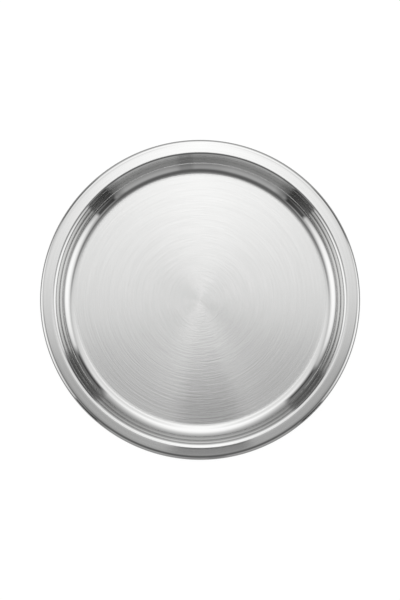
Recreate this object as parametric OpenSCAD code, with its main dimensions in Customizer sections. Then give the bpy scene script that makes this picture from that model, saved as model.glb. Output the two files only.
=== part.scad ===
// Thali plate: a round, shallow serving plate of stainless steel. One sheet is spun into
// a flat floor, a hollow corner, a steep low wall and a flat brim, and its outer edge is
// rolled all the way round over a ring of wire that keeps the brim stiff and safe to hold.

/* [Plate] */
// Outside diameter, over the rolled edge
plate_d = 300; // [240:5:360]
// Depth of the inside, from the floor's upper face to the brim's upper face
depth = 18.1; // [16:0.1:40]
// Thickness of the sheet
sheet_t = 0.8; // [0.5:0.1:1.2]

/* [Lift, corner, wall and bend] */
// Radius of the floor's slight lift before the corner, on the upper face
lift_r = 55; // [30:5:80]
// How far the lift turns the sheet up, in degrees
lift_turn = 2.6; // [1:0.2:5]
// Radius of the hollow corner between floor and wall, on the upper face
corner_r = 14; // [8:0.2:18]
// Slope of the wall against the floor, in degrees
wall_slope = 71.5; // [60:0.5:80]
// Radius of the bend from the wall to the brim, on the upper face
bend_r = 5; // [3:0.1:8]

/* [Brim and rolled edge] */
// Width of the brim's flat, between the bend and the shoulder
brim_w = 7; // [4:0.1:20]
// Radius of the shoulder that eases the brim down into the rolled edge, on the upper face
shoulder_r = 8; // [5:0.5:12]
// How far the shoulder turns the sheet down, in degrees
shoulder_turn = 18; // [10:1:25]
// How far round the wire the sheet is rolled, in degrees
roll_turn = 290; // [240:5:305]
// Diameter of the wire inside the rolled edge
wire_d = 4; // [2.5:0.1:6]
// Gap all round between the wire and the sheet rolled over it
wire_gap = 0.1; // [0.05:0.05:0.3]
// Gap between the butted ends of the wire ring
wire_end_gap = 0.5; // [0.2:0.1:3]

/* [Hidden] */

// Facets of a whole turn of the plate and of the wire's own round, and the angle
// between neighbouring points on a bend of the section
turn_facets = 240;
wire_facets = 48;
bend_step = 6;

// The section is laid out in two numbers: distance from the middle, and height.
// The rolled edge gives the shoulder and the brim their place, and the brim the bend, the
// wall and the floor.
brim_z = sheet_t + depth;
roll_r = wire_d / 2 + wire_gap + sheet_t;
shoulder_drop = shoulder_r - (shoulder_r - roll_r) * cos(shoulder_turn);
roll_centre = [plate_d / 2 - roll_r, brim_z - shoulder_drop];
shoulder_centre = [roll_centre.x - (shoulder_r - roll_r) * sin(shoulder_turn), brim_z - shoulder_r];
bend_centre = [shoulder_centre.x - brim_w, brim_z - bend_r];
wall_top = bend_centre + bend_r * [-sin(wall_slope), cos(wall_slope)];

// The straight wall runs down from the bend to where the hollow corner ends, and the
// corner runs down to where the floor's lift ends
lift_rise = lift_r * (1 - cos(lift_turn));
corner_rise = corner_r * (cos(lift_turn) - cos(wall_slope));
wall_foot_z = sheet_t + lift_rise + corner_rise;
wall_foot_x = wall_top.x - (wall_top.y - wall_foot_z) / tan(wall_slope);
corner_centre = [wall_foot_x, wall_foot_z] + corner_r * [-sin(wall_slope), cos(wall_slope)];
lift_centre = corner_centre + (lift_r - corner_r) * [-sin(lift_turn), cos(lift_turn)];

// Points round a bend of the section, from one angle to another
function bend_points(centre, r, start, end) =
    let (steps = ceil(abs(end - start) / bend_step))
    [for (i = [0 : steps])
        let (angle = start + (end - start) * i / steps)
        centre + r * [cos(angle), sin(angle)]];

// The sheet's outline from the middle to its rolled end, at a depth below its upper face
function sheet_line(below) = [
    [0, sheet_t - below],
    each bend_points(lift_centre, lift_r + below, -90, lift_turn - 90),
    each bend_points(corner_centre, corner_r + below, lift_turn - 90, wall_slope - 90),
    each bend_points(bend_centre, bend_r - below, 90 + wall_slope, 90),
    each bend_points(shoulder_centre, shoulder_r - below, 90, 90 - shoulder_turn),
    each bend_points(roll_centre, roll_r - below, 90 - shoulder_turn, 90 - roll_turn)
];

// The sheet, spun round the middle: floor, corner, wall, bend, brim, shoulder and rolled edge
module plate() {
    upper = sheet_line(0);
    lower = sheet_line(sheet_t);
    color("gainsboro") rotate_extrude($fn = turn_facets)
        polygon([each lower, for (i = [len(upper) - 1 : -1 : 0]) upper[i]]);
}

// The wire that the edge is rolled over: a ring bent from one length, its ends butted
module rim_wire() {
    end_angle = wire_end_gap / roll_centre.x * 180 / PI;
    color("silver") translate([0, 0, roll_centre.y])
        rotate_extrude(angle = 360 - end_angle, $fn = turn_facets)
            translate([roll_centre.x, 0]) circle(d = wire_d, $fn = wire_facets);
}

plate();
rim_wire();
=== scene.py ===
import math

import bpy
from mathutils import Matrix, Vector


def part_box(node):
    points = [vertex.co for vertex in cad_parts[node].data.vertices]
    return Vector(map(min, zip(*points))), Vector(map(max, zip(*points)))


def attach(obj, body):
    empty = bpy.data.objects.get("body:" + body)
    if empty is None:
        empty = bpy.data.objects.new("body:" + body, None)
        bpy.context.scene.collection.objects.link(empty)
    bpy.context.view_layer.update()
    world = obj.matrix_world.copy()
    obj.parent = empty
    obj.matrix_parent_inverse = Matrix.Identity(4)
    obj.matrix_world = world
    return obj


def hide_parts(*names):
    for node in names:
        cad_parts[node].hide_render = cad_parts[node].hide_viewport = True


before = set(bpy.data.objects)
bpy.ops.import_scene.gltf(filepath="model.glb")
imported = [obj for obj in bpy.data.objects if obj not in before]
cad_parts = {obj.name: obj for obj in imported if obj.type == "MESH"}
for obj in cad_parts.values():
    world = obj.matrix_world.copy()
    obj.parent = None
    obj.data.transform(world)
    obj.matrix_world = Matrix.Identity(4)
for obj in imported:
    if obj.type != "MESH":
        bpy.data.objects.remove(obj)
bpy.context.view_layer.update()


# The plate: one round blank of stainless steel sheet, spun over a former to a flat floor,
# a hollow corner, a steep low wall and a flat brim. Its edge is rolled over the wire. The
# floor keeps the fine rings of the brush; the corner, wall, brim and roll are buffed.
edge_r, brim_z = 0.150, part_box("plate")[1].z
sheet_t = 0.0008
roll_r, shoulder_r, bend_r, corner_r, lift_r = 0.0029, 0.008, 0.005, 0.014, 0.055
brim_w = 0.007
lift_turn, wall_slope = math.radians(2.6), math.radians(71.5)
shoulder_turn, roll_turn = math.radians(18), math.radians(290)
turn_steps = 384

shoulder_drop = shoulder_r - (shoulder_r - roll_r) * math.cos(shoulder_turn)
roll_centre = Vector((edge_r - roll_r, 0, brim_z - shoulder_drop))
shoulder_x = roll_centre.x - (shoulder_r - roll_r) * math.sin(shoulder_turn)
shoulder_centre = Vector((shoulder_x, 0, brim_z - shoulder_r))
bend_centre = Vector((shoulder_x - brim_w, 0, brim_z - bend_r))
wall_top = bend_centre + bend_r * Vector((-math.sin(wall_slope), 0, math.cos(wall_slope)))
lift_rise = lift_r * (1 - math.cos(lift_turn))
wall_foot_z = sheet_t + lift_rise + corner_r * (math.cos(lift_turn) - math.cos(wall_slope))
wall_foot = Vector((wall_top.x - (wall_top.z - wall_foot_z) / math.tan(wall_slope), 0, wall_foot_z))
corner_centre = wall_foot + corner_r * Vector((-math.sin(wall_slope), 0, math.cos(wall_slope)))
lift_centre = corner_centre + (lift_r - corner_r) * Vector((-math.sin(lift_turn), 0, math.cos(lift_turn)))
floor_r = lift_centre.x


def straight_to(x, z, steps):
    """Extends the section from its last point to (x, z) in equal steps."""
    bpy.context.edit_object.update_from_editmode()
    last = next(v.co for v in bpy.context.edit_object.data.vertices if v.select)
    step = (Vector((x, 0, z)) - last) / steps
    for _ in range(steps):
        bpy.ops.mesh.extrude_region_move(TRANSFORM_OT_translate={"value": step})


def bent_round(centre, turn, steps):
    """Carries the section's last point round a centre, outwards and up if turn is above 0."""
    bpy.ops.mesh.spin(steps=steps, angle=turn, center=centre, axis=(0, 1, 0))


bpy.ops.object.select_all(action="DESELECT")
bpy.ops.mesh.primitive_plane_add(size=sheet_t, location=(0, 0, sheet_t))
plate = bpy.context.object
plate.name = plate.data.name = "spun_plate"
bpy.ops.object.transform_apply(location=True, rotation=True, scale=True)
bpy.ops.object.mode_set(mode="EDIT")
bpy.ops.mesh.select_mode(type="VERT")
bpy.ops.mesh.select_all(action="SELECT")
bpy.ops.mesh.merge(type="CENTER")
straight_to(floor_r, sheet_t, 10)
bent_round(lift_centre, lift_turn, 4)
bent_round(corner_centre, wall_slope - lift_turn, 28)
straight_to(wall_top.x, wall_top.z, 4)
bent_round(bend_centre, -wall_slope, 22)
straight_to(shoulder_x, brim_z, 4)
bent_round(shoulder_centre, -shoulder_turn, 6)
bent_round(roll_centre, shoulder_turn - roll_turn, 40)
bpy.ops.mesh.select_all(action="SELECT")
bpy.ops.mesh.spin(steps=turn_steps, angle=math.tau, center=(0, 0, 0), axis=(0, 0, 1))
bpy.ops.mesh.select_all(action="SELECT")
bpy.ops.mesh.remove_doubles(threshold=1e-6)
bpy.ops.mesh.normals_make_consistent(inside=False)
bpy.ops.object.mode_set(mode="OBJECT")
hub_face = min(plate.data.polygons, key=lambda face: face.center.xy.length)
if hub_face.normal.z < 0:
    plate.data.flip_normals()
gauge = plate.modifiers.new("gauge", "SOLIDIFY")
gauge.thickness, gauge.offset, gauge.use_even_offset = sheet_t, -1, True
bpy.ops.object.modifier_apply(modifier=gauge.name)
bpy.ops.object.shade_smooth_by_angle(angle=math.radians(35))


def add_node(tree, kind, **values):
    """Adds a node, with each value set as a property or, under a socket's name, as an input."""
    made = tree.nodes.new(kind)
    for name, value in values.items():
        if hasattr(made, name):
            setattr(made, name, value)
        else:
            made.inputs[name.replace("_", " ")].default_value = value
    return made


def calc(tree, operation, first, second=None, third=None, clamp=False):
    """Adds a Math node fed by numbers or by other nodes' outputs, and returns its output."""
    made = tree.nodes.new("ShaderNodeMath")
    made.operation, made.use_clamp = operation, clamp
    for slot, value in zip(made.inputs, (first, second, third)):
        if isinstance(value, bpy.types.NodeSocket):
            tree.links.new(value, slot)
        elif value is not None:
            slot.default_value = value
    return made.outputs[0]


def stretch(tree, source, low, high):
    """A value's place between low and high, from 0 to 1."""
    return calc(tree, "DIVIDE", calc(tree, "SUBTRACT", source, low), high - low, clamp=True)


def follow(tree, source, stops):
    """Follows a value along stops, each a place and a share from 0 to 1, in straight lines between them."""
    low, high = stops[0][0], stops[-1][0]
    made = tree.nodes.new("ShaderNodeValToRGB")
    elements = made.color_ramp.elements
    elements.remove(elements[-1])
    elements[0].color = (stops[0][1],) * 3 + (1,)
    for at, share in stops[1:]:
        elements.new((at - low) / (high - low)).color = (share,) * 3 + (1,)
    tree.links.new(stretch(tree, source, low, high), made.inputs["Fac"])
    return made.outputs["Color"]


def shared_effect(name, given, made):
    """Starts a node group with the given inputs and their usual values, and the outputs it makes."""
    group = bpy.data.node_groups.new(name, "ShaderNodeTree")
    for label, value in given.items():
        group.interface.new_socket(label, in_out="INPUT", socket_type="NodeSocketFloat").default_value = value
    for label in made:
        group.interface.new_socket(label, in_out="OUTPUT", socket_type="NodeSocketFloat")
    return group, group.nodes.new("NodeGroupInput").outputs, group.nodes.new("NodeGroupOutput").inputs


# Marks that run round the plate: a noise that changes quickly outwards, along the section,
# and slowly on the way round, so that it shows as arcs. Inside hub_r they turn to spots, as
# the brush does at its middle. It also gives the radius.
hub_r = 0.02
ring_marks, given, made = shared_effect("ring_marks", {"Marks per metre": 800, "Breaks per turn": 12},
                                        ["Height", "Radius"])
place = add_node(ring_marks, "ShaderNodeTexCoord")
split = add_node(ring_marks, "ShaderNodeSeparateXYZ")
ring_marks.links.new(place.outputs["Object"], split.inputs[0])
x, y, z = split.outputs
radius = calc(ring_marks, "SQRT", calc(ring_marks, "ADD", calc(ring_marks, "MULTIPLY", x, x),
                                       calc(ring_marks, "MULTIPLY", y, y)))
out_to = calc(ring_marks, "MAXIMUM", radius, hub_r)
breaks = calc(ring_marks, "DIVIDE", given["Breaks per turn"], math.tau)
turned = add_node(ring_marks, "ShaderNodeCombineXYZ")
along = calc(ring_marks, "MULTIPLY", calc(ring_marks, "ADD", radius, z), given["Marks per metre"])
ring_marks.links.new(along, turned.inputs["X"])
for side, slot in ((x, "Y"), (y, "Z")):
    way = calc(ring_marks, "MULTIPLY", calc(ring_marks, "DIVIDE", side, out_to), breaks)
    ring_marks.links.new(way, turned.inputs[slot])
noise = add_node(ring_marks, "ShaderNodeTexNoise", Scale=1.0, Detail=2.0, Roughness=0.6)
ring_marks.links.new(turned.outputs[0], noise.inputs["Vector"])
ring_marks.links.new(noise.outputs["Fac"], made["Height"])
ring_marks.links.new(radius, made["Radius"])

# Handling: soft blotches of grease and dulled metal, at the scale of a fingertip.
handling, given, made = shared_effect("handling", {"Blotches per metre": 40}, ["Amount"])
place = add_node(handling, "ShaderNodeTexCoord")
noise = add_node(handling, "ShaderNodeTexNoise", Detail=3.0, Roughness=0.55)
handling.links.new(place.outputs["Object"], noise.inputs["Vector"])
handling.links.new(given["Blotches per metre"], noise.inputs["Scale"])
handling.links.new(noise.outputs["Fac"], made["Amount"])

# Bare steel: its grey and the blue that it lacks, how far past the floor the satin fades
# out, and the share of the rings' relief that buffing leaves.
steel_grey, blue_share = 0.655, 0.993
satin_fade = 0.009
relief_left = 0.04


def bare_steel(name, satin, buffed, stretch_along, marks, ring_depth, tone, dulling):
    """A bare steel, as rough as satin out to the floor's edge and as buffed beyond the fade.
    marks are the rings' number per metre and breaks per turn, and ring_depth is in metres.
    tone and dulling are how far rings lighten the metal and handling roughens it."""
    metal = bpy.data.materials.new(name)
    metal.use_nodes = True
    tree = metal.node_tree
    shader = tree.nodes["Principled BSDF"]
    shader.inputs["Metallic"].default_value = 1.0
    shader.inputs["Anisotropic"].default_value = stretch_along
    shader.inputs["Anisotropic Rotation"].default_value = 0.25
    round_axis = add_node(tree, "ShaderNodeTangent", direction_type="RADIAL", axis="Z")
    tree.links.new(round_axis.outputs[0], shader.inputs["Tangent"])
    rings = add_node(tree, "ShaderNodeGroup", node_tree=ring_marks)
    rings.inputs["Marks per metre"].default_value, rings.inputs["Breaks per turn"].default_value = marks
    touched = add_node(tree, "ShaderNodeGroup", node_tree=handling)
    past_floor = stretch(tree, rings.outputs["Radius"], floor_r, floor_r + satin_fade)
    brushed = calc(tree, "SUBTRACT", 1.0, past_floor)
    shade = calc(tree, "MULTIPLY_ADD", rings.outputs["Height"], tone, steel_grey - tone / 2)
    grey = add_node(tree, "ShaderNodeCombineColor")
    for channel, share in (("Red", 1.0), ("Green", 1.0), ("Blue", blue_share)):
        tree.links.new(calc(tree, "MULTIPLY", shade, share), grey.inputs[channel])
    tree.links.new(grey.outputs[0], shader.inputs["Base Color"])
    finish = calc(tree, "MULTIPLY_ADD", brushed, satin - buffed, buffed - dulling / 2)
    finish = calc(tree, "MULTIPLY_ADD", touched.outputs["Amount"], dulling, finish)
    tree.links.new(finish, shader.inputs["Roughness"])
    relief = add_node(tree, "ShaderNodeBump", Strength=1.0, Distance=ring_depth)
    kept_relief = calc(tree, "MULTIPLY_ADD", brushed, 1 - relief_left, relief_left)
    height = calc(tree, "MULTIPLY", rings.outputs["Height"], kept_relief)
    tree.links.new(height, relief.inputs["Height"])
    tree.links.new(relief.outputs[0], shader.inputs["Normal"])
    return metal


bright = bare_steel("bright_inside", satin=0.083, buffed=0.048, stretch_along=1.0, marks=(900, 12),
                    ring_depth=2e-5, tone=0.08, dulling=0.006)
under = bare_steel("dull_underside", satin=0.32, buffed=0.25, stretch_along=0.6, marks=(300, 8),
                   ring_depth=2e-5, tone=0.06, dulling=0.06)
for metal in (bright, under):
    plate.data.materials.append(metal)
for face in plate.data.polygons:
    if face.center.xy.length < bend_centre.x and face.normal.z < 0:
        face.material_index = 1
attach(plate, "root")
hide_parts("plate")


# The wire: a ring bent from one length of drawn steel wire, its ends butted. It lies in
# the roll, out of sight but for the slit where the rolled edge stops short of the brim.
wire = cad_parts["rim_wire"]
wire.data.materials.clear()
wire.data.materials.append(bare_steel("drawn_wire", satin=0.42, buffed=0.42, stretch_along=0.3, marks=(4000, 6),
                                      ring_depth=1e-5, tone=0.08, dulling=0.08))


# The table: a plain white top, white to the camera and pale in the steel's reflection,
# which keeps a faint shadow of the plate. It lies a hair below the plate's underside, so
# that the two faces don't mix, and is clear to a camera below it.
table_side, table_z = 6.0, -0.0002
cloth_white, shadow_share = 0.8, 0.1
glow_seen, glow_mirrored = 0.95, 0.39
bpy.ops.object.select_all(action="DESELECT")
bpy.ops.mesh.primitive_plane_add(size=table_side, location=(0, 0, table_z))
table = bpy.context.object
table.name = "table_top"
white = bpy.data.materials.new("white_table")
white.use_nodes = True
tree = white.node_tree
tree.nodes.clear()
seen = add_node(tree, "ShaderNodeLightPath")
matt = add_node(tree, "ShaderNodeBsdfDiffuse", Color=(cloth_white, cloth_white, cloth_white, 1))
faint = add_node(tree, "ShaderNodeBsdfDiffuse", Color=(shadow_share, shadow_share, shadow_share, 1))
glow = add_node(tree, "ShaderNodeEmission", Color=(1, 1, 1, 1))
strength = calc(tree, "MULTIPLY_ADD", seen.outputs["Is Camera Ray"], glow_seen - glow_mirrored, glow_mirrored)
tree.links.new(strength, glow.inputs["Strength"])
shown = add_node(tree, "ShaderNodeAddShader")
tree.links.new(faint.outputs[0], shown.inputs[0])
tree.links.new(glow.outputs[0], shown.inputs[1])
looked_at = calc(tree, "MAXIMUM", seen.outputs["Is Camera Ray"], seen.outputs["Is Glossy Ray"])
looked_at = calc(tree, "MAXIMUM", looked_at, seen.outputs["Is Transmission Ray"])
pick = add_node(tree, "ShaderNodeMixShader")
tree.links.new(looked_at, pick.inputs[0])
tree.links.new(matt.outputs[0], pick.inputs[1])
tree.links.new(shown.outputs[0], pick.inputs[2])
side = add_node(tree, "ShaderNodeNewGeometry")
clear = add_node(tree, "ShaderNodeBsdfTransparent")
top_only = add_node(tree, "ShaderNodeMixShader")
tree.links.new(side.outputs["Backfacing"], top_only.inputs[0])
tree.links.new(pick.outputs[0], top_only.inputs[1])
tree.links.new(clear.outputs[0], top_only.inputs[2])
out = add_node(tree, "ShaderNodeOutputMaterial")
tree.links.new(top_only.outputs[0], out.inputs[0])
table.data.materials.append(white)


# The light: a tent of white cloth round the table. One lamp stands behind it and one at
# each side, each a soft round glow on the cloth, and a weak one in front. The open seams
# at the corners show as dark patches, and the roof falls off quickly towards the front.
world = bpy.data.worlds.new("light_tent")
bpy.context.scene.world = world
bpy.context.scene.view_settings.view_transform = "Standard"
world.use_nodes = True
tree = world.node_tree
tree.nodes.clear()
place = add_node(tree, "ShaderNodeTexCoord")
split = add_node(tree, "ShaderNodeSeparateXYZ")
tree.links.new(place.outputs["Generated"], split.inputs[0])
x, y, z = split.outputs
rise = calc(tree, "DEGREES", calc(tree, "ARCSINE", z))
azimuth = calc(tree, "DEGREES", calc(tree, "ARCTAN2", y, x))
lamp_light = 1.5


def glow_on_cloth(way, up, fade):
    """The round glow of a lamp, aimed in degrees, that fades by degrees from its middle."""
    aim = add_node(tree, "ShaderNodeVectorMath", operation="DOT_PRODUCT")
    tree.links.new(place.outputs["Generated"], aim.inputs[0])
    way, up = math.radians(way), math.radians(up)
    aim.inputs[1].default_value = (math.cos(up) * math.cos(way), math.cos(up) * math.sin(way), math.sin(up))
    off = calc(tree, "ARCCOSINE", calc(tree, "MINIMUM", aim.outputs["Value"], 1.0))
    return follow(tree, calc(tree, "DEGREES", off), fade)


def round_from(way):
    """Degrees of azimuth away from a direction, to either side."""
    return calc(tree, "ABSOLUTE", calc(tree, "WRAP", calc(tree, "SUBTRACT", azimuth, way), 180.0, -180.0))


def product(first, *others):
    """Multiplies any number of values."""
    for other in others:
        first = calc(tree, "MULTIPLY", first, other)
    return first


# the lamps on the walls: where they aim, in degrees of azimuth and rise, and how they fade.
# melt is how softly one glow runs into the next
back_way, back_rise = 90, 58
back_fade = [(0, 1), (12, 0.98), (22, 0.84), (31, 0.64), (37, 0.54), (42, 0.48), (51, 0.37), (60, 0.28),
             (80, 0.06)]
side_ways, side_rise = (-8, 187), 33
side_fade = [(0, 1), (8, 0.98), (16, 0.88), (22, 0.74), (27, 0.5), (31, 0.38), (38, 0.16), (45, 0)]
front_way = 270
front_round = [(0, 0.8), (8, 0.85), (14, 1), (34, 1), (44, 0)]
front_up = [(0, 0.2), (7, 0.24), (12, 0.28), (20, 0.3), (30, 0.35), (42, 0.37), (50, 0.28), (57, 0.12)]
melt = 0.07
near_table = follow(tree, rise, [(0, 0.5), (7, 0.58), (13, 0.8), (20, 1)])
beside_back = follow(tree, round_from(back_way), [(10, 1), (40, 0.84), (80, 0.8)])
off_middle = calc(tree, "MAXIMUM", beside_back, stretch(tree, rise, 25, 50))
walls = product(glow_on_cloth(back_way, back_rise, back_fade), stretch(tree, y, -0.25, 0.0), off_middle)
for way in side_ways:
    side_glow = product(glow_on_cloth(way, side_rise, side_fade), near_table)
    walls = calc(tree, "SMOOTH_MAX", walls, side_glow, melt)
front = product(follow(tree, round_from(front_way), front_round), follow(tree, rise, front_up))
walls = calc(tree, "SMOOTH_MAX", walls, front, melt)
# the open seams of the cloth, less dark towards the table: where, half as wide, how soft,
# closed again from what rise and over how much
seams = ((33, 7, 6, 34, 20), (140, 6, 5, 31, 19), (224, 4.5, 2, 48, 8), (315, 4, 2, 48, 8))
seam_light = 0.14
shut_low = follow(tree, rise, [(8, 0.8), (14, 0.6), (24, 0.45), (31, 0)])
for way, half, soft, top, closing in seams:
    beside = stretch(tree, round_from(way), half, half + soft)
    closed = calc(tree, "MAXIMUM", beside, stretch(tree, rise, top, top + closing))
    closed = calc(tree, "MAXIMUM", closed, shut_low)
    walls = product(walls, calc(tree, "MAXIMUM", closed, seam_light))
# the roof, bright behind and dark in front, and less bright to the sides, where the bright
# part starts a bow further back. Right overhead is the camera, as a small dark oval with a
# bright spot beside it. Places on the roof are the x and y of the way that leads there
bow = 0.06
from_front = [(-0.34, 0.1), (-0.28, 0.13), (-0.2, 0.19), (-0.14, 0.28), (-0.08, 0.405), (-0.045, 0.495),
              (-0.015, 0.73), (0.015, 0.88), (0.05, 0.97), (0.1, 1), (0.2, 1)]
to_sides = [(0, 1), (0.03, 0.96), (0.065, 0.86), (0.09, 0.775), (0.15, 0.7), (0.35, 0.68)]
roof_foot, roof_edge = 60, 72
aside = calc(tree, "ABSOLUTE", x)
back_from_front = calc(tree, "MULTIPLY_ADD", follow(tree, aside, [(0.1, 0), (0.2, 1), (0.3, 0)]), bow, y)
roof = product(follow(tree, back_from_front, from_front), follow(tree, aside, to_sides))


def oval_on_roof(middle, turned, long, wide):
    """A soft oval overhead, 1 in its middle: its place, its turn in degrees, its half axes."""
    oval_gain = 1.35
    fitted = add_node(tree, "ShaderNodeMapping", vector_type="TEXTURE", Location=(*middle, 0),
                      Rotation=(0, 0, math.radians(turned)), Scale=(long, wide, 1000))
    tree.links.new(place.outputs["Generated"], fitted.inputs["Vector"])
    off = add_node(tree, "ShaderNodeVectorMath", operation="LENGTH")
    tree.links.new(fitted.outputs[0], off.inputs[0])
    return calc(tree, "MULTIPLY", calc(tree, "SUBTRACT", 1.0, off.outputs["Value"]), oval_gain, clamp=True)


spot_light, camera_dark = 1.2, -0.4
bright_spot = oval_on_roof((0.002, -0.013), 10, 0.013, 0.009)
dark_camera = oval_on_roof((0.004, -0.006), -45, 0.034, 0.016)
roof = calc(tree, "MULTIPLY_ADD", bright_spot, spot_light, roof)
roof = calc(tree, "MULTIPLY_ADD", dark_camera, camera_dark, roof)
cloth = add_node(tree, "ShaderNodeMix", data_type="FLOAT")
tree.links.new(stretch(tree, rise, roof_foot, roof_edge), cloth.inputs[0])
tree.links.new(walls, cloth.inputs[2])
tree.links.new(roof, cloth.inputs[3])
# the camera's stand in front, half as wide as stand_half with soft sides, that lets 0.75 of
# the light past and ends at stand_top
stand_way, stand_half, stand_light = 276, 2, 0.75
stand_top = 50
column = stretch(tree, round_from(stand_way), stand_half, stand_half + 2)
column = calc(tree, "MULTIPLY_ADD", column, 1 - stand_light, stand_light)
column = calc(tree, "MAXIMUM", column, stretch(tree, rise, stand_top, stand_top + 5))
column = calc(tree, "MAXIMUM", column, stretch(tree, round_from(stand_way), stand_half + 2, stand_half + 3))
# its arm over the table, which widens forwards: how dark it is along its length
arm_x, arm_half, arm_soft, arm_widens = 0.0065, 0.015, 0.006, 0.011
arm_dark = [(0.055, 0), (0.065, 0.95), (0.078, 0.95), (0.09, 0.22), (0.12, 0.2), (0.135, 0)]
forward = calc(tree, "MULTIPLY", y, -1.0)
across = calc(tree, "ABSOLUTE", calc(tree, "SUBTRACT", x, arm_x))
across = calc(tree, "MULTIPLY_ADD", stretch(tree, forward, 0.078, 0.093), -arm_widens, across)
inside = calc(tree, "SUBTRACT", 1.0, stretch(tree, across, arm_half, arm_half + arm_soft))
arm = calc(tree, "SUBTRACT", 1.0, product(inside, follow(tree, forward, arm_dark)))
brightness = product(cloth.outputs[0], column, arm, lamp_light)

seen = add_node(tree, "ShaderNodeLightPath")
tent_light = add_node(tree, "ShaderNodeBackground", Color=(1, 1, 1, 1))
tree.links.new(brightness, tent_light.inputs["Strength"])
backdrop = add_node(tree, "ShaderNodeBackground", Color=(1, 1, 1, 1), Strength=1.0)
pick = add_node(tree, "ShaderNodeMixShader")
tree.links.new(seen.outputs["Is Camera Ray"], pick.inputs[0])
tree.links.new(tent_light.outputs[0], pick.inputs[1])
tree.links.new(backdrop.outputs[0], pick.inputs[2])
out = add_node(tree, "ShaderNodeOutputWorld")
tree.links.new(pick.outputs[0], out.inputs[0])


# The camera: straight above, far enough that the plate is seen almost without perspective.
camera_rise, frame_long, sensor_long = 1.5, 0.5625, 36.0
camera_off = (-0.00007, -0.0001)
camera_data = bpy.data.cameras.new("camera_above")
camera_data.sensor_width = sensor_long
camera_data.lens = sensor_long * camera_rise / frame_long
camera = bpy.data.objects.new("camera_above", camera_data)
camera.location = (*camera_off, roll_centre.z + camera_rise)
bpy.context.scene.collection.objects.link(camera)
bpy.context.scene.camera = camera
